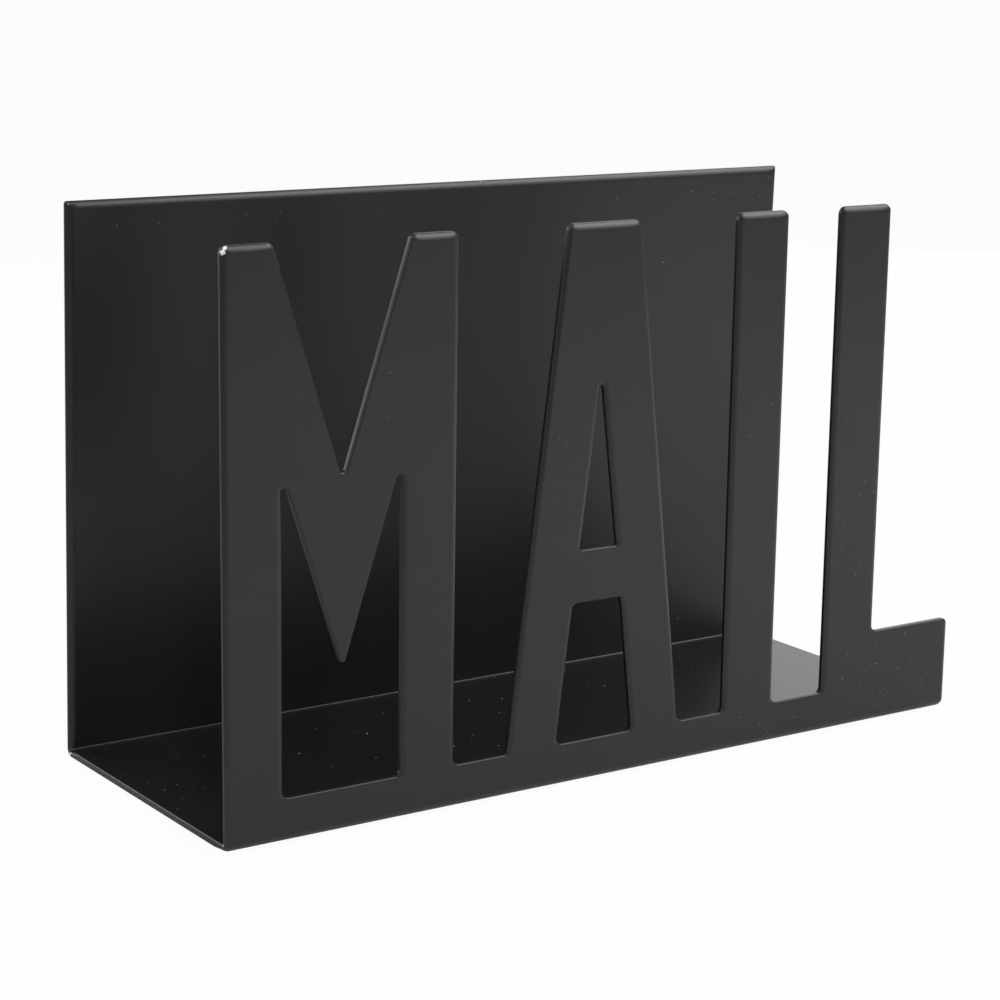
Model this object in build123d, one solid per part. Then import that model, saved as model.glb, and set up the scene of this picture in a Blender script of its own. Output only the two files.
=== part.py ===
"""Letter rack: one steel sheet folded into a U, its front wall cut into block letters, on four rubber pads.

Millimetres, +Z up. The origin is on the surface that the rack stands on, below the middle of the rack.
+X runs along the row of letters as it is read, and +Y runs from the front wall to the back wall.
Heights of the letters and of the back wall are measured from the underside of the sheet.
"""

import math
import os

from build123d import *

# Sheet and folds
SHEET = 2.0
INNER_BEND = 0.5
DEPTH = 96.0
BACK_HEIGHT = 159.0
BACK_LEAN = 2.0  # degrees by which the back wall tips in towards the letters
BACK_CORNER = 0.8

# Row of letters: heights and corners
LETTER_HEIGHT = 156.5
RAIL_HEIGHT = 12.0
OUTER_CORNER = 2.2
INNER_CORNER = 1.6
SHARP_TIP = 0.9

# Row of letters: widths from left to right, at the top of the rail
M_WIDTH = 69.6
GAP_AFTER_M = 17.5
A_WIDTH = 58.9
GAP_AFTER_A = 16.4
I_WIDTH = 18.4
GAP_AFTER_I = 19.3
L_WIDTH = 49.9

# Strokes of the letters
M_LEG = 16.9
M_NOTCH_WIDTH = 40.6
M_NOTCH_DEPTH = 62.0
M_STROKE_HEIGHT = 50.6
A_TOP_WIDTH = 24.1
A_LEG = 16.45
A_BAR_BOTTOM = 51.7
A_BAR_HEIGHT = 14.9
A_COUNTER_WIDTH = 12.8
A_COUNTER_HEIGHT = 49.4
A_COUNTER_TIP = 0.6
L_STEM = 19.2
L_FOOT_HEIGHT = 28.2

# Stick-on pads
PAD_DIAMETER = 12.0
PAD_HEIGHT = 1.5
PAD_EDGE = 0.4
PAD_FROM_END = 18.0
PAD_FROM_SIDE = 16.0

LENGTH = M_WIDTH + GAP_AFTER_M + A_WIDTH + GAP_AFTER_A + I_WIDTH + GAP_AFTER_I + L_WIDTH
OUTER_BEND = INNER_BEND + SHEET
FRONT_Y = -DEPTH / 2
BACK_Y = DEPTH / 2


def outline(corners):
    """Face with rounded corners, from (x, y, corner radius) in order."""
    points = [(x, y) for x, y, _ in corners]
    radii = [radius for _, _, radius in corners]
    return make_face(FilletPolyline(*points, radius=radii, close=True))


def letter_row():
    """Front wall above the bend, drawn flat: the row of letters on its rail, from x = 0 to LENGTH."""
    top, rail, bend = LETTER_HEIGHT, RAIL_HEIGHT, OUTER_BEND
    m_end = M_WIDTH
    a_start = m_end + GAP_AFTER_M
    a_end = a_start + A_WIDTH
    i_start = a_end + GAP_AFTER_A
    i_end = i_start + I_WIDTH
    l_start = i_end + GAP_AFTER_I
    l_stem = l_start + L_STEM
    m_middle = M_WIDTH / 2
    a_middle = (a_start + a_end) / 2
    notch_tip = top - M_NOTCH_DEPTH

    row = outline([
        (0, bend, 0),
        (0, top, OUTER_CORNER),
        (m_middle - M_NOTCH_WIDTH / 2, top, OUTER_CORNER),
        (m_middle, notch_tip, SHARP_TIP),
        (m_middle + M_NOTCH_WIDTH / 2, top, OUTER_CORNER),
        (m_end, top, OUTER_CORNER),
        (m_end, rail, INNER_CORNER),
        (a_start, rail, INNER_CORNER),
        (a_middle - A_TOP_WIDTH / 2, top, OUTER_CORNER),
        (a_middle + A_TOP_WIDTH / 2, top, OUTER_CORNER),
        (a_end, rail, INNER_CORNER),
        (i_start, rail, INNER_CORNER),
        (i_start, top, OUTER_CORNER),
        (i_end, top, OUTER_CORNER),
        (i_end, rail, INNER_CORNER),
        (l_start, rail, INNER_CORNER),
        (l_start, top, OUTER_CORNER),
        (l_stem, top, OUTER_CORNER),
        (l_stem, L_FOOT_HEIGHT, INNER_CORNER),
        (LENGTH, L_FOOT_HEIGHT, OUTER_CORNER),
        (LENGTH, bend, 0),
    ])

    # The opening under the M's diagonals: two narrow peaks beside the legs, and the V's tip between them.
    v_tip = notch_tip - M_STROKE_HEIGHT
    rise_per_width = M_NOTCH_DEPTH / (M_NOTCH_WIDTH / 2)
    peak = v_tip + (m_middle - M_LEG) * rise_per_width
    under_m = outline([
        (M_LEG, rail, INNER_CORNER),
        (m_end - M_LEG, rail, INNER_CORNER),
        (m_end - M_LEG, peak, SHARP_TIP),
        (m_middle, v_tip, SHARP_TIP),
        (M_LEG, peak, SHARP_TIP),
    ])

    # The A's opening below its bar has sides parallel to the letter's own, and its counter is a narrow triangle.
    a_slope = (A_WIDTH - A_TOP_WIDTH) / 2 / (top - rail)
    low_half = A_WIDTH / 2 - A_LEG
    high_half = low_half - a_slope * (A_BAR_BOTTOM - rail)
    under_a = outline([
        (a_middle - low_half, rail, INNER_CORNER),
        (a_middle + low_half, rail, INNER_CORNER),
        (a_middle + high_half, A_BAR_BOTTOM, INNER_CORNER),
        (a_middle - high_half, A_BAR_BOTTOM, INNER_CORNER),
    ])
    bar_top = A_BAR_BOTTOM + A_BAR_HEIGHT
    counter = outline([
        (a_middle - A_COUNTER_WIDTH / 2, bar_top, A_COUNTER_TIP),
        (a_middle + A_COUNTER_WIDTH / 2, bar_top, A_COUNTER_TIP),
        (a_middle, bar_top + A_COUNTER_HEIGHT, A_COUNTER_TIP),
    ])
    return row - under_m - under_a - counter


def front_wall():
    """Upright wall of letters, with its outer face at FRONT_Y."""
    plane = Plane(origin=(-LENGTH / 2, FRONT_Y, PAD_HEIGHT), x_dir=(1, 0, 0), z_dir=(0, -1, 0))
    return extrude(plane * letter_row(), amount=-SHEET)


def floor_with_bends():
    """Flat floor with the two quarter bends that lead up into the walls, cut square at the ends."""
    lean = BACK_LEAN
    front_centre = (FRONT_Y + OUTER_BEND, OUTER_BEND)
    back_centre = (BACK_Y - OUTER_BEND, OUTER_BEND)
    outer_front = CenterArc(front_centre, OUTER_BEND, 180, 90)
    outer_back = CenterArc(back_centre, OUTER_BEND, 270, 90 + lean)
    inner_back = CenterArc(back_centre, INNER_BEND, lean, -90 - lean)
    inner_front = CenterArc(front_centre, INNER_BEND, 270, -90)
    arcs = [outer_front, outer_back, inner_back, inner_front]
    joins = [Line(arc @ 1, following @ 0) for arc, following in zip(arcs, arcs[1:] + arcs[:1])]
    profile = make_face(Wire(arcs + joins))
    plane = Plane(origin=(0, 0, PAD_HEIGHT), x_dir=(0, 1, 0), z_dir=(1, 0, 0))
    return extrude(plane * profile, amount=LENGTH / 2, both=True)


def back_wall():
    """Plain rectangular wall that leans in, from the end of its bend to BACK_HEIGHT."""
    lean = math.radians(BACK_LEAN)
    bend_end = OUTER_BEND * (1 + math.sin(lean))
    length_up = (BACK_HEIGHT - bend_end) / math.cos(lean)
    start_y = BACK_Y - OUTER_BEND * (1 - math.cos(lean))
    plane = Plane(
        origin=(0, start_y, PAD_HEIGHT + bend_end),
        x_dir=(-1, 0, 0),
        z_dir=(0, math.cos(lean), math.sin(lean)),
    )
    half = LENGTH / 2
    wall = outline([
        (-half, 0, 0),
        (half, 0, 0),
        (half, length_up, BACK_CORNER),
        (-half, length_up, BACK_CORNER),
    ])
    return extrude(plane * wall, amount=-SHEET)


def pads():
    """Four round pads, face to face with the underside of the floor, by node name."""
    disc = Cylinder(PAD_DIAMETER / 2, PAD_HEIGHT, align=(Align.CENTER, Align.CENTER, Align.MIN))
    disc = fillet(disc.edges().group_by(Axis.Z)[0], PAD_EDGE)
    x = LENGTH / 2 - PAD_FROM_END
    y = DEPTH / 2 - PAD_FROM_SIDE
    sides = {"left": -x, "right": x}
    ends = {"front": -y, "back": y}
    return {
        f"pad_{end}_{side}": Pos(sides[side], ends[end], 0) * disc
        for end in ends
        for side in sides
    }


nodes = {"folded_sheet": floor_with_bends() + front_wall() + back_wall()}
nodes.update(pads())

os.makedirs("parts", exist_ok=True)
for name, solid in nodes.items():
    export_step(solid, f"parts/{name}.step")
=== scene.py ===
"""Looks of the letter rack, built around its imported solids.

Metres, +Z up, in the solids' own frame: +X along the letters as they are read, +Y from the front wall to
the back wall. The folded sheet is made again from its flat blank, with its cut edges rolled and rounded
under a thick coat.
"""

import math
from typing import NamedTuple

import bmesh
import bpy
import numpy as np
from mathutils import Matrix, Vector
from mathutils.geometry import delaunay_2d_cdt


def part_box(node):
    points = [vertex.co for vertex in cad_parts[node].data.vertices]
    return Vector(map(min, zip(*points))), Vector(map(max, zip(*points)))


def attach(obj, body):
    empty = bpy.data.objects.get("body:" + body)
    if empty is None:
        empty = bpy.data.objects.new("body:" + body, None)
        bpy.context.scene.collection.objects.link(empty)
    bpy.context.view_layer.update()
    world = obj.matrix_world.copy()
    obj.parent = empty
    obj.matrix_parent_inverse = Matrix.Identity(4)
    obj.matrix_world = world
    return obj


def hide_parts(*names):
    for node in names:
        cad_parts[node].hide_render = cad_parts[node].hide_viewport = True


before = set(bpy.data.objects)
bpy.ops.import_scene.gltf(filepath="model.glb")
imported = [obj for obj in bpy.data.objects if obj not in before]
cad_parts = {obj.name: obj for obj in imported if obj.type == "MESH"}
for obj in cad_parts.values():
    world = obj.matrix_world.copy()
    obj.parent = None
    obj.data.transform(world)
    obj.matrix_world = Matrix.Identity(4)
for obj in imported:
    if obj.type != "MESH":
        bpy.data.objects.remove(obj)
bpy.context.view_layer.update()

MM = 0.001

# Sheet and folds, as the solid has them
SHEET = 2.0 * MM
OUTER_BEND = 2.5 * MM
BACK_LEAN = math.radians(2.0)
BEND_STEPS = 10

# Reading of the solid's outline: what counts as one place, a sharp edge and a side, and steps round corners
WELD = 0.001 * MM
SAME_PLACE = WELD / 10
TOUCHING = 1e-9
SHARP_EDGE = math.radians(60)
SHORTEST_SIDE = 3.0 * MM
STRAIGHT = math.radians(0.5)
CORNER_STEP = math.radians(6)
FEWEST_STEPS = 3

# Cut edges: a shallow roll that turns to ROLL_ANGLE, then a small radius round the edge itself
EDGE_RADIUS = 0.5 * MM
TOP_ROLL = 2.5 * MM
SIDE_ROLL = 1.8 * MM
SLANT_ROLL = 1.6 * MM
DIAGONAL_ROLL = 0.8 * MM
ROLL_ANGLE = math.radians(38)
ROLL_STEPS = 8
EDGE_STEPS = 4
ROLL_FADE = 5.0 * MM
FADE_STEPS = 4
CORNER_EASE = 1.0 * MM

# Kinds of side, by how far they face up or down, and how near the letters' top counts as the top
SLANTS = 0.05
DIAGONAL = 0.25
FACES_UP = 0.7
NEAR_TOP = 1.0 * MM

# Camera that the photograph's straight edges give
CAMERA_PLACE = (-0.42196, -0.60730, 0.23518)
CAMERA_AZIMUTH = math.radians(34.207)
CAMERA_PITCH = math.radians(12.489)
CAMERA_ROLL = math.radians(-0.837)
CAMERA_LENS = 93.41
CAMERA_SENSOR = 36.0
CAMERA_RANGE = (0.01, 50.0)

# Powder coat: the colours that it is mottled between, gloss, orange peel, and their bumps to the metre
COAT_DARK = (0.005, 0.005, 0.0053, 1.0)
COAT_PALE = (0.008, 0.008, 0.0084, 1.0)
MOTTLE_SCALE = 35.0
COAT_ROUGHNESS = (0.34, 0.38)
GLOSS_SCALE = 480.0
COAT_IOR = 1.5
PEEL_HEIGHT = 0.004 * MM
PEEL_SCALE = 650.0

# Corners painted as bright steel: a painted glint on the first letter, wear with painted glints at the
# sheet's end; its look, reach on the first letter and the sheet's end, and ragged edge
WEAR_AND_GLINT_COLOUR = (0.75, 0.75, 0.76, 1.0)
STEEL_ROUGHER = 0.15
LETTER_GLINT_RADIUS = 0.85 * MM
CORNER_WEAR_AND_GLINT_RADIUS = 0.6 * MM
WEAR_AND_GLINT_INSET = 0.6 * MM
LETTER_GLINT_SPOTS = ((0.6 * MM, 0.2 * MM, -1.6 * MM), (1.3 * MM, 0.2 * MM, -0.4 * MM))
WEAR_AND_GLINT_EDGE = 0.3 * MM
WEAR_AND_GLINT_EDGE_SCALE = 1500.0

# Specks of dust and lint: colour, sizes, cells to the metre, and how far a speck covers the coat
DUST_COLOUR = (0.78, 0.77, 0.75, 1.0)
DUST_ROUGHER = 0.4
SPECK_RADIUS = 0.22 * MM
SPECK_SCALE = 540.0
LINT_RADIUS = 0.14 * MM
LINT_SCALE = 260.0
LINT_TURN = (0.5, 0.9, 0.3)
LINT_STRETCH = (0.12, 1.0, 1.0)
FLOOR_SPECK_RADIUS = 0.4 * MM
FLOOR_SPECK_SCALE = 340.0
SMALLEST_SPECK = 0.4
SPECK_CORE = 0.5
DUST_COVER = 0.42
FLOOR_DUST_COVER = (0.7, 0.25)

# Share of cells with a speck: on the floor, and on walls left to right, front to back and in patches
DUST_FLOOR = 0.35
DUST_ACROSS = (0.08, 0.35)
DUST_BEHIND = (1.0, 0.6)
DUST_PATCHES = (0.15, 0.65)

# Where dust changes: a surface's rise, x at the right end, y behind the front, x off the middle, patches
LYING = (0.3, 0.9)
DUSTY_END = (0.05, 0.12)
DUSTY_FRONT = (-0.04, 0.0)
DUSTY_MIDDLE = (0.06, 0.09)
PATCH_EDGE = (0.48, 0.62)
PATCH_SCALE = 22.0

# Pads: rounded lower edge, shallow dish in the underside, film of adhesive on top
PAD_EDGE = 0.4 * MM
PAD_EDGE_STEPS = 6
PAD_TOP_EDGE = 0.15 * MM
PAD_DISH = 1.2 * MM
PAD_DISH_DEPTH = 0.1 * MM
PAD_FILM = 0.12 * MM
PAD_FILM_INSET = 0.3 * MM
PAD_SIDES = 64
PAD_CREASE = math.radians(40)

# Rubber of the pads: the colours that it is mottled between, roughness and grain
RUBBER_DARK = (0.014, 0.014, 0.014, 1.0)
RUBBER_PALE = (0.026, 0.026, 0.025, 1.0)
RUBBER_MOTTLE_SCALE = 300.0
RUBBER_ROUGHNESS = (0.6, 0.8)
GRAIN_HEIGHT = 0.02 * MM
GRAIN_STRENGTH = 0.6
GRAIN_SCALE = 2500.0

# Studio: share of plain white that the camera and reflections see, light all round, floor, place lamps face
WHITE = (1.0, 1.0, 1.0, 1.0)
WHITE_SEEN = 0.965
WHITE_REFLECTED = 0.05
WORLD_LEVEL = 0.11
FLOOR_HALF = 12.0
FLOOR_COLOUR = (0.89, 0.865, 0.94, 1.0)
STUDIO_MIDDLE = (0.0, 0.0, 0.08)

# Power of an area lamp for each unit of its radiance and area
LAMP_POWER = 4


class Fold:
    """Folds the flat blank into the sheet, and unfolds it again.

    x runs along the letters. s runs over the outer face from the top of the front bend to the back wall's
    top, so the front wall has s below 0. w is the depth below the outer face.
    """

    def __init__(self, low):
        self.centre_y = low.y + OUTER_BEND
        self.centre_z = low.z + OUTER_BEND
        self.floor_length = -2 * self.centre_y
        self.floor_start = OUTER_BEND * math.pi / 2
        self.floor_end = self.floor_start + self.floor_length
        self.wall_start = self.floor_end + OUTER_BEND * (math.pi / 2 + BACK_LEAN)

    def at(self, s):
        """Places on the outer face, and the directions along s and outwards there, as rows of (y, z)."""
        back_turn = np.clip(s - self.floor_end, 0, self.wall_start - self.floor_end)
        angle = math.pi + (np.clip(s, 0, self.floor_start) + back_turn) / OUTER_BEND
        outward = np.stack([np.cos(angle), np.sin(angle)], -1)
        along = np.stack([-np.sin(angle), np.cos(angle)], -1)
        centre_y = self.centre_y + np.clip(s - self.floor_start, 0, self.floor_length)
        centre = np.stack([centre_y, np.full_like(centre_y, self.centre_z)], -1)
        straight = np.minimum(s, 0) + np.maximum(s - self.wall_start, 0)
        return centre + OUTER_BEND * outward + along * straight[:, None], along, outward

    def points(self, flat):
        """Points of the folded sheet for rows of (x, s, w)."""
        place, _, outward = self.at(flat[:, 1])
        return np.column_stack([flat[:, 0], place - outward * flat[:, 2:]])

    def directions(self, flat, direction):
        """Directions on the folded sheet for directions on the blank, at rows of (x, s, w)."""
        _, along, outward = self.at(flat[:, 1])
        return np.column_stack([direction[:, 0], along * direction[:, 1:2] - outward * direction[:, 2:]])

    def flat(self, point):
        """(x, s, w) of a point of the folded sheet."""
        y, z = point.y - self.centre_y, point.z - self.centre_z
        if y <= 0 and z >= 0:
            return point.x, -z, OUTER_BEND + y
        if y <= 0:
            return point.x, OUTER_BEND * math.atan2(-z, -y), OUTER_BEND - math.hypot(y, z)
        y -= self.floor_length
        if y <= 0 and z < 0:
            return point.x, self.floor_end + y, OUTER_BEND + z
        up = z * math.cos(BACK_LEAN) - y * math.sin(BACK_LEAN)
        if up < 0:
            return point.x, self.floor_end + OUTER_BEND * math.atan2(y, -z), OUTER_BEND - math.hypot(y, z)
        return point.x, self.wall_start + up, OUTER_BEND - y * math.cos(BACK_LEAN) - z * math.sin(BACK_LEAN)

    def stations(self):
        """(s, number) where the sheet's ends need a vertex.

        Those in the bends are numbered, and those where a roll fades beside a bend have -1.
        """
        front = np.linspace(0, self.floor_start, BEND_STEPS + 1)
        back = np.linspace(self.floor_end, self.wall_start, BEND_STEPS + 1)
        beside = np.linspace(0, ROLL_FADE, FADE_STEPS + 1)[1:]
        numbered = [(s, n) for n, s in enumerate([*front, *back])]
        return numbered + [(s, -1) for s in [*(self.floor_start + beside), *(self.floor_end - beside)]]


def area(points):
    """Signed area of a closed outline."""
    x, y = points.T
    return 0.5 * float(np.sum(x * np.roll(y, -1) - y * np.roll(x, -1)))


def cross(a, b):
    return a[0] * b[1] - a[1] * b[0]


def solid_outlines(node, fold):
    """Outlines of the blank and of its openings in (x, s), from the sharp edges of the solid's outer face.

    The sheet lies on the left of each outline: the outer one runs anticlockwise and the openings clockwise.
    """
    mesh = bmesh.new()
    mesh.from_mesh(node.data)
    bmesh.ops.remove_doubles(mesh, verts=mesh.verts, dist=WELD)
    flat = {v: fold.flat(v.co) for v in mesh.verts}
    beside = {}
    for edge in mesh.edges:
        a, b = edge.verts
        on_outer_face = max(flat[a][2], flat[b][2]) < SHEET / 4
        if on_outer_face and edge.is_manifold and edge.calc_face_angle() > SHARP_EDGE:
            beside.setdefault(a, []).append(b)
            beside.setdefault(b, []).append(a)
    outlines = []
    left = set(beside)
    while left:
        start = last = min(left, key=lambda v: v.index)
        ring = [start]
        here = beside[start][0]
        while here != start:
            ring.append(here)
            last, here = here, next(v for v in beside[here] if v != last)
        left -= set(ring)
        outlines.append(np.array([flat[v][:2] for v in ring]))
    mesh.free()
    outlines.sort(key=lambda points: -abs(area(points)))
    ways = [1] + [-1] * (len(outlines) - 1)
    return [points[::-1] if area(points) * way < 0 else points for points, way in zip(outlines, ways)]


def corners_of(points):
    """(apex, radius) of each rounded corner of an outline, from where its straight sides would meet."""
    before = points - np.roll(points, 1, 0)
    after = np.roll(points, -1, 0) - points
    turns = [math.atan2(cross(a, b), a @ b) for a, b in zip(before, after)]
    points = points[np.abs(turns) > STRAIGHT]
    steps = np.roll(points, -1, 0) - points
    sides = [i for i, step in enumerate(steps) if np.linalg.norm(step) > SHORTEST_SIDE]
    corners = []
    for i, j in zip(sides, sides[1:] + sides[:1]):
        first, second = steps[i], steps[j]
        share = cross(points[j] - points[i], second) / cross(first, second)
        apex = points[i] + share * first
        tangent = np.linalg.norm(apex - points[(i + 1) % len(points)])
        turn = math.atan2(cross(first, second), first @ second)
        corners.append((apex, tangent / math.tan(abs(turn) / 2)))
    return corners


def smooth_step(t):
    t = min(max(t, 0.0), 1.0)
    return t * t * (3 - 2 * t)


def roll_widths(fold, top, point, outward):
    """Widths of the roll on the outer face and on the inner face, at a point of a side that faces outward.

    The letters are rolled on their outer face and the back wall on its inner face, at the free edges.
    Ledges inside the word, undersides and the floor's ends keep the small edge radius.
    """
    s = point[1]
    front = smooth_step((fold.floor_start - s) / ROLL_FADE + 1)
    back = smooth_step((s - fold.floor_end) / ROLL_FADE + 1)
    tilt = abs(outward[1])
    if tilt > FACES_UP:
        at_top = outward[1] < 0 and s < top + NEAR_TOP
        outer = TOP_ROLL if at_top else EDGE_RADIUS
    elif tilt > DIAGONAL:
        outer = DIAGONAL_ROLL
    elif tilt > SLANTS:
        outer = SLANT_ROLL
    else:
        outer = SIDE_ROLL
    return EDGE_RADIUS + np.array([front * (outer - EDGE_RADIUS), back * (TOP_ROLL - EDGE_RADIUS)])


class Outline:
    """Points of one outline, with the outward direction, rolls, corner and station of the edge there."""

    def __init__(self):
        self.point, self.outward, self.rolls = [], [], []
        self.apex, self.radius, self.mitre, self.station = [], [], [], []

    def add(self, point, outward, rolls, apex=(0, 0), radius=math.inf, mitre=(0, 0), station=-1):
        self.point.append(point)
        self.outward.append(outward)
        self.rolls.append(rolls)
        self.apex.append(apex)
        self.radius.append(radius)
        self.mitre.append(mitre)
        self.station.append(station)

    def freeze(self):
        for name, values in vars(self).items():
            setattr(self, name, np.array(values, float))
        return self

    def inset(self, depth):
        """Points at those depths inside the outline. Past a tight corner's centre they follow its mitre."""
        beyond = (depth > self.radius)[:, None]
        depth = depth[:, None]
        return np.where(beyond, self.apex - self.mitre * depth, self.point - self.outward * depth)

    def facing(self, depth):
        """Directions outwards at those depths, which past a tight corner's centre are its mitre's."""
        length = np.linalg.norm(self.mitre, axis=1, keepdims=True)
        mitre = self.mitre / np.where(length > 0, length, 1)
        return np.where((depth > self.radius)[:, None], mitre, self.outward)


def outline_points(corners, fold, top):
    """Points along one outline: round each corner, and at the stations along the sheet's two ends."""
    outline = Outline()
    apexes = np.array([apex for apex, _ in corners])
    ahead = np.roll(apexes, -1, 0) - apexes
    ahead /= np.linalg.norm(ahead, axis=1, keepdims=True)
    normals = np.column_stack([ahead[:, 1], -ahead[:, 0]])
    for k, (apex, radius) in enumerate(corners):
        first, second = normals[k - 1], normals[k]
        turn = math.atan2(cross(first, second), first @ second)
        bisector = (first + second) / (1 + first @ second)
        side = math.copysign(1, turn)
        steps = max(FEWEST_STEPS, math.ceil(abs(turn) / CORNER_STEP))
        widest = max(radius, *roll_widths(fold, top, apex, first), *roll_widths(fold, top, apex, second))
        eased = widest * math.tan(abs(turn) / 2) + CORNER_EASE
        if turn > 0:
            point = apex - ahead[k - 1] * eased
            outline.add(point, first, roll_widths(fold, top, point, first))
        for j in range(steps + 1):
            angle = turn * j / steps
            c, n = math.cos(angle), math.sin(angle)
            outward = np.array([first[0] * c - first[1] * n, first[0] * n + first[1] * c])
            point = apex + side * radius * (outward - bisector)
            share = smooth_step(j / steps)
            rolls = (1 - share) * roll_widths(fold, top, point, first)
            rolls = rolls + share * roll_widths(fold, top, point, second)
            # Rolls of two widths would cross past a corner's centre, so round a wide corner they end there.
            if radius > SIDE_ROLL:
                rolls = np.minimum(rolls, radius)
            if turn > 0:
                outline.add(point, outward, rolls, apex, radius, bisector)
            else:
                outline.add(point, outward, rolls)
        if turn > 0:
            point = apex + ahead[k] * eased
            outline.add(point, second, roll_widths(fold, top, point, second))
        along = apexes[(k + 1) % len(corners)] - apex
        if abs(along[0]) > WELD:
            continue
        crossed = [(s, n) for s, n in fold.stations() if 0 < (s - apex[1]) / along[1] < 1]
        for s, n in sorted(crossed, reverse=bool(along[1] < 0)):
            point = np.array([apex[0], s])
            outline.add(point, second, roll_widths(fold, top, point, second), station=n)
    return outline.freeze()


def edge_rows(rolls):
    """Rows (depth inside the outline, w, tilt) of the cut edge, from the outer face round to the inner."""
    wide = np.linspace(0, ROLL_ANGLE, ROLL_STEPS + 1)
    tight = np.linspace(ROLL_ANGLE, math.pi / 2, EDGE_STEPS + 1)[1:]

    def half(width):
        roll = (width - EDGE_RADIUS) / math.sin(ROLL_ANGLE) + EDGE_RADIUS
        drop = roll * (1 - math.cos(ROLL_ANGLE))
        rows = [(width - roll * math.sin(t), roll * (1 - math.cos(t)), t) for t in wide]
        rows += [(
            np.full_like(roll, EDGE_RADIUS * (1 - math.sin(t))),
            drop + EDGE_RADIUS * (math.cos(ROLL_ANGLE) - math.cos(t)),
            t,
        ) for t in tight]
        return rows

    inner = [(depth, SHEET - w, math.pi - t) for depth, w, t in reversed(half(rolls[:, 1]))]
    return half(rolls[:, 0]) + inner


class Blank:
    """Vertices of the flat blank, each kept once, with their normals and the faces between them."""

    def __init__(self):
        self.index, self.flat, self.normal, self.faces = {}, [], [], []

    def vertex(self, flat, normal):
        key = tuple(np.round(np.asarray(flat) / SAME_PLACE).astype(int))
        if key not in self.index:
            self.index[key] = len(self.flat)
            self.flat.append(flat)
            self.normal.append(normal)
        return self.index[key]

    def face(self, corners):
        distinct = [v for n, v in enumerate(corners) if v != corners[n - 1]]
        if len(set(distinct)) > 2:
            self.faces.append(distinct)


def inside(point, loops):
    """Whether a point lies inside the loops, counting crossings."""
    crossings = 0
    for loop in loops:
        a, b = loop, np.roll(loop, -1, 0)
        spans = (a[:, 1] > point[1]) != (b[:, 1] > point[1])
        a, b = a[spans], b[spans]
        share = (point[1] - a[:, 1]) / (b[:, 1] - a[:, 1])
        x = a[:, 0] + share * (b[:, 0] - a[:, 0])
        crossings += int(np.sum(x > point[0]))
    return crossings % 2 == 1


def fill(blank, loops, stations):
    """Fills one face of the sheet between loops of vertex indices, with an edge across at each station."""
    used = sorted({v for loop in loops for v in loop})
    place = {v: n for n, v in enumerate(used)}
    points = [Vector(blank.flat[v][:2]) for v in used]
    edges = [(place[a], place[b]) for loop in loops for a, b in zip(loop, loop[1:] + loop[:1]) if a != b]
    edges += [(place[a], place[b]) for a, b in stations]
    verts, _, faces, origins, _, _ = delaunay_2d_cdt(points, edges, [], 0, TOUCHING)
    outlines = [np.array([blank.flat[v][:2] for v in loop]) for loop in loops]
    for face in faces:
        middle = sum((verts[n] for n in face), Vector((0, 0))) / len(face)
        if inside(middle, outlines):
            blank.face([used[origins[n][0]] for n in face])


def add_object(name, data):
    """New object in the scene that shows the data."""
    made = bpy.data.objects.new(name, data)
    bpy.context.scene.collection.objects.link(made)
    return made


def look(piece, material):
    piece.data.materials.clear()
    piece.data.materials.append(material)


def coated_sheet(material):
    """The folded sheet with its rolled and rounded edges, as one closed mesh."""
    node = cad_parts["folded_sheet"]
    fold = Fold(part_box("folded_sheet")[0])
    corner_lists = [corners_of(points) for points in solid_outlines(node, fold)]
    top = min(apex[1] for apex, _ in corner_lists[0])
    blank = Blank()
    loops = {0: [], -1: []}
    across = {0: {}, -1: {}}
    for corners in corner_lists:
        outline = outline_points(corners, fold, top)
        grid = []
        for depth, w, tilt in edge_rows(outline.rolls):
            flat = np.column_stack([outline.inset(depth), w])
            normal = np.column_stack([
                math.sin(tilt) * outline.facing(depth),
                np.full(len(flat), -math.cos(tilt)),
            ])
            grid.append([blank.vertex(f, n) for f, n in zip(flat, normal)])
        for row, below in zip(grid, grid[1:]):
            for a, b, c, d in zip(row, row[1:] + row[:1], below[1:] + below[:1], below):
                blank.face([a, b, c, d])
        for end in loops:
            loops[end].append(grid[end])
            for n, vertex in zip(outline.station, grid[end]):
                if n >= 0:
                    across[end].setdefault(n, []).append(vertex)
    for end, rings in loops.items():
        fill(blank, rings, list(across[end].values()))

    flat, normal = np.array(blank.flat), np.array(blank.normal)
    points, normals = fold.points(flat), fold.directions(flat, normal)
    faces = []
    for face in blank.faces:
        a, b, c = points[face[0]], points[face[1]], points[face[2]]
        outwards = np.cross(b - a, c - a) @ normals[face].sum(0) > 0
        faces.append(face if outwards else face[::-1])
    mesh = bpy.data.meshes.new("coated_sheet")
    mesh.from_pydata(points.tolist(), [], faces)
    mesh.polygons.foreach_set("use_smooth", [True] * len(mesh.polygons))
    mesh.normals_split_custom_set_from_vertices(normals.tolist())
    piece = add_object("coated_sheet", mesh)
    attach(piece, "root")
    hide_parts("folded_sheet")
    look(piece, material)


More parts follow.
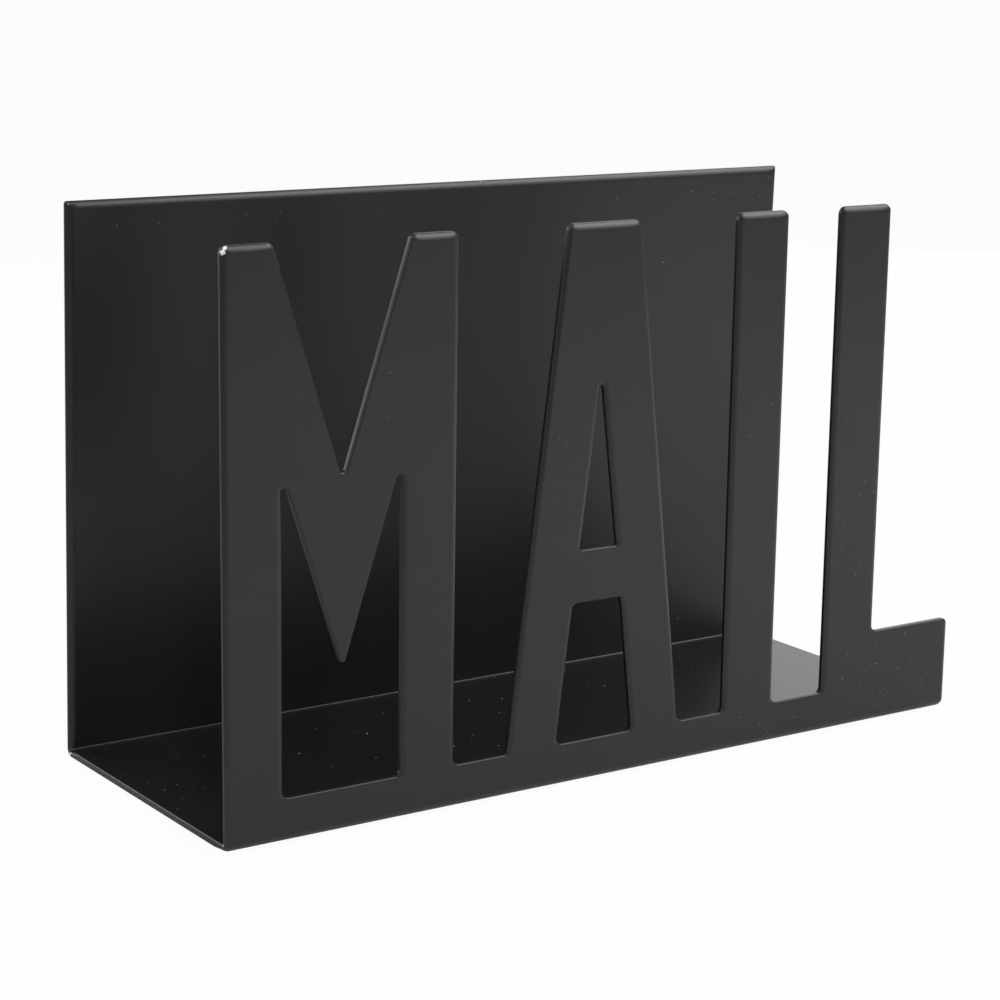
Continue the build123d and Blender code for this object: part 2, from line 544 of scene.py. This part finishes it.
def pad(name, material):
    """Stick-on pad in place of a pad's solid: a turned disc, rounded below, on a thin film of adhesive."""
    low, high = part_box(name)
    middle = (low + high) / 2
    radius = (high.x - low.x) / 2
    film = high.z - PAD_FILM
    profile = [(radius - PAD_DISH, PAD_DISH_DEPTH)]
    for n in range(PAD_EDGE_STEPS + 1):
        angle = math.pi / 2 * n / PAD_EDGE_STEPS
        profile.append((radius - PAD_EDGE * (1 - math.sin(angle)), PAD_EDGE * (1 - math.cos(angle))))
    profile += [
        (radius, film - PAD_TOP_EDGE),
        (radius - PAD_TOP_EDGE, film),
        (radius - PAD_FILM_INSET, film),
        (radius - PAD_FILM_INSET, high.z),
    ]
    made = bmesh.new()
    turns = [2 * math.pi * n / PAD_SIDES for n in range(PAD_SIDES)]
    rings = []
    for r, z in profile:
        circle = [(middle.x + r * math.cos(t), middle.y + r * math.sin(t), z) for t in turns]
        rings.append([made.verts.new(point) for point in circle])
    for ring, above in zip(rings, rings[1:]):
        for n in range(PAD_SIDES):
            made.faces.new((ring[n - 1], ring[n], above[n], above[n - 1]))
    made.faces.new(rings[0][::-1])
    made.faces.new(rings[-1])
    bmesh.ops.recalc_face_normals(made, faces=made.faces)
    mesh = bpy.data.meshes.new(f"rubber_{name}")
    made.to_mesh(mesh)
    made.free()
    mesh.shade_smooth()
    mesh.set_sharp_from_angle(angle=PAD_CREASE)
    piece = add_object(f"rubber_{name}", mesh)
    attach(piece, "root")
    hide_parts(name)
    look(piece, material)


def new_material(name):
    material = bpy.data.materials.new(name)
    material.use_nodes = True
    tree = material.node_tree
    tree.nodes.clear()
    return material, tree


def add_node(tree, kind, inputs=None, **settings):
    """A shader node with its settings.

    Each of its inputs, by name or number, takes a value or another node's output.
    """
    made = tree.nodes.new(kind)
    for name, value in settings.items():
        setattr(made, name, value)
    for name, value in (inputs or {}).items():
        if isinstance(value, bpy.types.NodeSocket):
            tree.links.new(value, made.inputs[name])
        else:
            made.inputs[name].default_value = value
    return made


def noise(tree, coords, scale, detail=2.0):
    """Noise from 0 to 1 with about that many bumps to the metre."""
    made = add_node(tree, "ShaderNodeTexNoise", {"Vector": coords, "Scale": scale, "Detail": detail})
    return made.outputs[0]


def spread(tree, value, low, high, start=0.0, stop=1.0):
    """Value brought from the span start to stop into the span low to high, and held there."""
    made = add_node(tree, "ShaderNodeMapRange", {"Value": value, 1: start, 2: stop, 3: low, 4: high})
    return made.outputs[0]


def math_node(tree, operation, a, b=0.0):
    return add_node(tree, "ShaderNodeMath", {0: a, 1: b}, operation=operation).outputs[0]


def blend(tree, share, first, second):
    """Colour that goes from first to second with share."""
    return add_node(tree, "ShaderNodeMixRGB", {0: share, 1: first, 2: second}).outputs[0]


def parts_of(tree, vector):
    """X, Y and Z of a vector, by name."""
    return add_node(tree, "ShaderNodeSeparateXYZ", {0: vector}).outputs


def specks(tree, coords, scale, radius, share):
    """1 inside small spots of up to that radius, one to a cell, with about scale cells to the metre.

    Share is how many of the cells have their spot.
    """
    cells = add_node(tree, "ShaderNodeTexVoronoi", {"Vector": coords, "Scale": scale})
    chance = add_node(tree, "ShaderNodeSeparateColor", {0: cells.outputs["Color"]})
    reach = spread(tree, chance.outputs[0], SMALLEST_SPECK * radius * scale, radius * scale)
    away = math_node(tree, "DIVIDE", cells.outputs["Distance"], reach)
    spot = spread(tree, away, 1.0, 0.0, SPECK_CORE, 1.0)
    there = math_node(tree, "GREATER_THAN", share, chance.outputs[1])
    return math_node(tree, "MULTIPLY", spot, there)


def wear_and_glint_places():
    """(place, radius) of bright steel spots: a painted glint on the first letter, wear with painted glints
    at the sheet's left end.
    """
    low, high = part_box("folded_sheet")
    corners = [v.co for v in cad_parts["folded_sheet"].data.vertices]
    letter_top = max(v.z for v in corners if v.y < low.y + SHEET / 2)
    back_top = min(v.y for v in corners if v.z > high.z - SHEET)
    # Painted glint: the first letter's spots sit where its corner catches the glint lamp.
    letter = [(low.x + x, low.y + y, letter_top + z) for x, y, z in LETTER_GLINT_SPOTS]
    sheet = [
        (low.x + WEAR_AND_GLINT_INSET, back_top, high.z - WEAR_AND_GLINT_INSET),
        (low.x, high.y - SHEET, low.z + SHEET / 2),
        (low.x, low.y + SHEET, low.z + SHEET),
    ]
    return [(place, LETTER_GLINT_RADIUS) for place in letter] + [(place, CORNER_WEAR_AND_GLINT_RADIUS) for place in sheet]


def wear_and_glint_spots(tree, coords):
    """1 in the bright steel spots of painted glint and wear, with a ragged edge."""
    ragged = spread(tree, noise(tree, coords, WEAR_AND_GLINT_EDGE_SCALE, detail=3.0), -WEAR_AND_GLINT_EDGE, WEAR_AND_GLINT_EDGE)
    wear_and_glint = 0.0
    for place, radius in wear_and_glint_places():
        away = add_node(tree, "ShaderNodeVectorMath", {0: coords, 1: place}, operation="DISTANCE")
        reach = math_node(tree, "ADD", away.outputs["Value"], ragged)
        near = spread(tree, reach, 1.0, 0.0, radius - WEAR_AND_GLINT_EDGE, radius)
        wear_and_glint = math_node(tree, "MAXIMUM", near, wear_and_glint)
    return wear_and_glint


def coat_dust(tree, coords):
    """How far dust and lint cover the coat: few specks on walls, more at the right end and on the floor."""
    facing = parts_of(tree, add_node(tree, "ShaderNodeNewGeometry").outputs["Normal"])
    floor = spread(tree, facing["Z"], 0.0, DUST_FLOOR, *LYING)
    place = parts_of(tree, coords)
    across = spread(tree, place["X"], *DUST_ACROSS, *DUSTY_END)
    behind = spread(tree, place["Y"], *DUST_BEHIND, *DUSTY_FRONT)
    patches = spread(tree, noise(tree, coords, PATCH_SCALE), *DUST_PATCHES, *PATCH_EDGE)
    walls = math_node(tree, "MULTIPLY", math_node(tree, "MULTIPLY", across, behind), patches)
    share = math_node(tree, "MAXIMUM", floor, walls)

    stretched = add_node(tree, "ShaderNodeMapping", {
        "Vector": coords,
        "Rotation": LINT_TURN,
        "Scale": LINT_STRETCH,
    })
    lint = specks(tree, stretched.outputs[0], LINT_SCALE, LINT_RADIUS, share)
    fine = math_node(tree, "MAXIMUM", lint, specks(tree, coords, SPECK_SCALE, SPECK_RADIUS, share))
    fine = math_node(tree, "MULTIPLY", fine, DUST_COVER)

    aside = math_node(tree, "ABSOLUTE", place["X"])
    cover = spread(tree, aside, *FLOOR_DUST_COVER, *DUSTY_MIDDLE)
    coarse = specks(tree, coords, FLOOR_SPECK_SCALE, FLOOR_SPECK_RADIUS, floor)
    return math_node(tree, "MAXIMUM", fine, math_node(tree, "MULTIPLY", coarse, cover))


def powder_coat():
    """Satin black powder coat with orange peel, mottling, a little dust, and bright steel spots at corners
    for painted glints, partly wear.
    """
    material, tree = new_material("powder_coat")
    coords = add_node(tree, "ShaderNodeTexCoord").outputs["Object"]
    dust = coat_dust(tree, coords)
    # Painted glint: bright metallic steel spots at corners, where the lamps show as highlights; at the
    # sheet's end they are also wear.
    wear_and_glint = wear_and_glint_spots(tree, coords)
    colour = blend(tree, noise(tree, coords, MOTTLE_SCALE, detail=4.0), COAT_DARK, COAT_PALE)
    colour = blend(tree, dust, colour, DUST_COLOUR)
    # The painted glint spots take the bright steel colour.
    colour = blend(tree, wear_and_glint, colour, WEAR_AND_GLINT_COLOUR)

    roughness = spread(tree, noise(tree, coords, GLOSS_SCALE, detail=3.0), *COAT_ROUGHNESS)
    roughness = math_node(tree, "ADD", roughness, math_node(tree, "MULTIPLY", dust, DUST_ROUGHER))
    roughness = math_node(tree, "ADD", roughness, math_node(tree, "MULTIPLY", wear_and_glint, STEEL_ROUGHER))
    peel = add_node(tree, "ShaderNodeBump", {
        "Strength": 1.0,
        "Distance": PEEL_HEIGHT,
        "Height": noise(tree, coords, PEEL_SCALE, detail=1.0),
    })
    shader = add_node(tree, "ShaderNodeBsdfPrincipled", {
        "Base Color": colour,
        "Metallic": wear_and_glint,
        "Roughness": roughness,
        "IOR": COAT_IOR,
        "Normal": peel.outputs[0],
    })
    add_node(tree, "ShaderNodeOutputMaterial", {"Surface": shader.outputs[0]})
    return material


def rubber():
    """Matt black rubber, a little uneven, with a fine grain."""
    material, tree = new_material("pad_rubber")
    coords = add_node(tree, "ShaderNodeTexCoord").outputs["Object"]
    mottle = noise(tree, coords, RUBBER_MOTTLE_SCALE, detail=3.0)
    grain = noise(tree, coords, GRAIN_SCALE, detail=3.0)
    bump = add_node(tree, "ShaderNodeBump", {
        "Strength": GRAIN_STRENGTH,
        "Distance": GRAIN_HEIGHT,
        "Height": grain,
    })
    shader = add_node(tree, "ShaderNodeBsdfPrincipled", {
        "Base Color": blend(tree, mottle, RUBBER_DARK, RUBBER_PALE),
        "Roughness": spread(tree, grain, *RUBBER_ROUGHNESS),
        "Normal": bump.outputs[0],
    })
    add_node(tree, "ShaderNodeOutputMaterial", {"Surface": shader.outputs[0]})
    return material


def camera():
    """Camera at the photograph's place and angle."""
    az, pitch = CAMERA_AZIMUTH, CAMERA_PITCH
    forward = Vector((math.sin(az) * math.cos(pitch), math.cos(az) * math.cos(pitch), -math.sin(pitch)))
    level = forward.cross(Vector((0, 0, 1))).normalized()
    upright = level.cross(forward)
    up = upright * math.cos(CAMERA_ROLL) + level * math.sin(CAMERA_ROLL)
    right = forward.cross(up)
    data = bpy.data.cameras.new("camera")
    data.lens = CAMERA_LENS
    data.sensor_width = CAMERA_SENSOR
    data.clip_start, data.clip_end = CAMERA_RANGE
    eye = add_object("camera", data)
    turn = Matrix((right, up, -forward)).transposed().to_4x4()
    eye.matrix_world = Matrix.Translation(CAMERA_PLACE) @ turn
    bpy.context.scene.camera = eye


def white_share(tree):
    """Share of plain white that a ray sees, for the camera and for reflections. Other rays see none."""
    path = add_node(tree, "ShaderNodeLightPath").outputs
    reflected = math_node(tree, "MAXIMUM", path["Is Glossy Ray"], path["Is Transmission Ray"])
    seen = math_node(tree, "MULTIPLY", path["Is Camera Ray"], WHITE_SEEN)
    return math_node(tree, "MAXIMUM", seen, math_node(tree, "MULTIPLY", reflected, WHITE_REFLECTED))


def white_floor():
    """Pale floor that the camera sees as nearly plain white, with a trace of the rack's shadow."""
    half = FLOOR_HALF
    corners = [(-half, -half, 0), (half, -half, 0), (half, half, 0), (-half, half, 0)]
    mesh = bpy.data.meshes.new("floor")
    mesh.from_pydata(corners, [], [(0, 1, 2, 3)])
    floor = add_object("floor", mesh)
    material, tree = new_material("white_floor")
    matt = add_node(tree, "ShaderNodeBsdfDiffuse", {"Color": FLOOR_COLOUR})
    glow = add_node(tree, "ShaderNodeEmission", {"Color": WHITE})
    mix = add_node(tree, "ShaderNodeMixShader", {
        0: white_share(tree),
        1: matt.outputs[0],
        2: glow.outputs[0],
    })
    add_node(tree, "ShaderNodeOutputMaterial", {"Surface": mix.outputs[0]})
    look(floor, material)


def surroundings():
    """White all round for the camera, dim for the light that falls on the rack."""
    world = bpy.data.worlds.new("studio")
    world.use_nodes = True
    tree = world.node_tree
    background = tree.nodes["Background"]
    background.inputs["Color"].default_value = WHITE
    strength = spread(tree, white_share(tree), WORLD_LEVEL, 1.0)
    tree.links.new(strength, background.inputs["Strength"])
    bpy.context.scene.world = world


class Softbox(NamedTuple):
    """Area lamp that faces its aim from an azimuth, counted from +X, and an elevation in degrees.

    A grid in front of it keeps its light within the spread, in degrees.
    """

    azimuth: float
    elevation: float
    distance: float
    width: float
    height: float
    radiance: float
    spread: float = 180
    aim: tuple = STUDIO_MIDDLE


def softboxes():
    """The studio's lamps by name."""
    # Place of the painted glint spot on the first letter, where the glint lamp aims.
    letter_glint, _ = wear_and_glint_places()[0]
    return {
        "key": Softbox(azimuth=-43, elevation=41, distance=1.14, width=0.9, height=0.28, radiance=3.2),
        "fill": Softbox(azimuth=-38, elevation=37, distance=1.1, width=1.0, height=0.6, radiance=2.2),
        "front_low": Softbox(azimuth=-42, elevation=15, distance=1.2, width=1.0, height=0.3, radiance=0.3),
        "backdrop": Softbox(azimuth=45, elevation=14, distance=1.2, width=0.75, height=0.75, radiance=1.05),
        "rear_right": Softbox(azimuth=38, elevation=40, distance=1.1, width=0.4, height=0.3, radiance=3.0),
        "left_back": Softbox(azimuth=118, elevation=28, distance=1.0, width=0.5, height=0.4, radiance=2.2),
        "left_edge": Softbox(azimuth=125, elevation=8, distance=1.0, width=0.35, height=0.22, radiance=3.2),
        "camera_left": Softbox(
            azimuth=-150, elevation=18, distance=1.2, width=0.7, height=0.25, radiance=9,
            spread=40, aim=(-0.03, -0.05, 0.12),
        ),
        "glint": Softbox(
            azimuth=-111, elevation=39, distance=1.1, width=0.1, height=0.1, radiance=85,
            spread=25, aim=letter_glint,
        ),
        "right_floor": Softbox(
            azimuth=0, elevation=90, distance=0.9, width=0.3, height=0.3, radiance=16,
            spread=100, aim=(0.55, -0.58, 0.0),
        ),
        "front_floor": Softbox(
            azimuth=0, elevation=90, distance=0.9, width=0.2, height=0.2, radiance=10,
            spread=60, aim=(-0.04, -0.2, 0.0),
        ),
    }


def light(name, box):
    """Area lamp for a softbox. What its grid holds back is taken off its power, so its radiance stays."""
    turn, rise = math.radians(box.azimuth), math.radians(box.elevation)
    away = Vector((math.cos(rise) * math.cos(turn), math.cos(rise) * math.sin(turn), math.sin(rise)))
    data = bpy.data.lights.new(name, "AREA")
    data.shape = "RECTANGLE"
    data.size, data.size_y = box.width, box.height
    data.spread = math.radians(box.spread)
    half_spread = math.radians(box.spread) / 2
    kept = 1 - half_spread / math.tan(half_spread)
    data.energy = box.radiance * LAMP_POWER * data.size * data.size_y * kept
    lamp = add_object(name, data)
    lamp.location = Vector(box.aim) + away * box.distance
    lamp.rotation_mode = "QUATERNION"
    lamp.rotation_quaternion = away.to_track_quat("Z", "Y")


bpy.context.scene.view_settings.view_transform = "Standard"
coated_sheet(powder_coat())
pad_rubber = rubber()
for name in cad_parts:
    if name.startswith("pad_"):
        pad(name, pad_rubber)
camera()
white_floor()
surroundings()
for name, box in softboxes().items():
    light(name, box)
